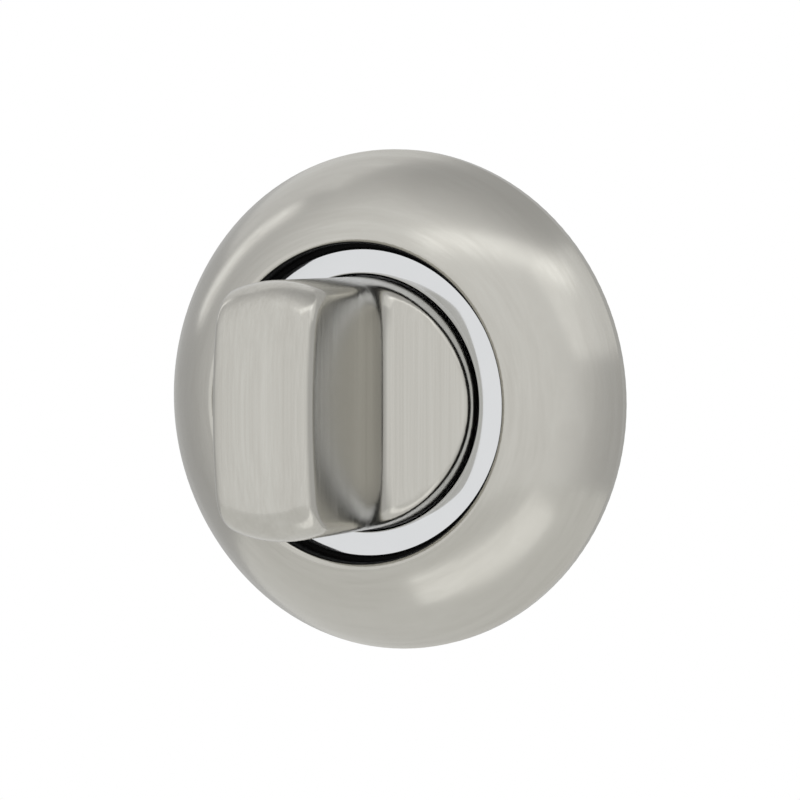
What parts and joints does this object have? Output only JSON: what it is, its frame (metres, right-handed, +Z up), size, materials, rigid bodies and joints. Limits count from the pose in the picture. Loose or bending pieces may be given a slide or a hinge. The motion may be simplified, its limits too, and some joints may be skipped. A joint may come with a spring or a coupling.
{
  "type": "bathroom thumb turn",
  "caption": "Inside thumb turn of a bathroom privacy lock: domed satin rose, polished trim ring and an upright scooped grip that turns a square spindle.",
  "frame": {"origin": "centre of the rose's back, on the door face", "axes": "+Y along the turn's axis into the door, +Z up with the grip upright, the front faces -Y"},
  "size_m": [0.053, 0.0739, 0.053],
  "materials": {
    "satin_nickel": "brushed",
    "polished_chrome": "polished",
    "cast_zinc": "as cast",
    "zinc_plate": "bright zinc",
    "spring_steel": "oiled dark",
    "nylon": "moulded"
  },
  "bodies": {
    "rose": {"base_plate": "cast_zinc", "bearing_bush": "nylon", "friction_spring": "spring_steel", "trim_ring": "polished_chrome", "rose_cover": "satin_nickel", "cover_snap_ring": "spring_steel", "fixing_screws": "zinc_plate"},
    "turn": {"turn_knob": "satin_nickel", "slide_washer": "nylon", "thrust_washer": "zinc_plate", "retaining_ring": "spring_steel", "spindle": "zinc_plate", "spindle_pin": "spring_steel"}
  },
  "joints": [
    {"name": "thumb_turn", "type": "hinge", "parent": "rose", "child": "turn", "pos_m": [0, 0, 0], "axis": [0, -1, 0], "range_deg": [-90, 90]}
  ]
}
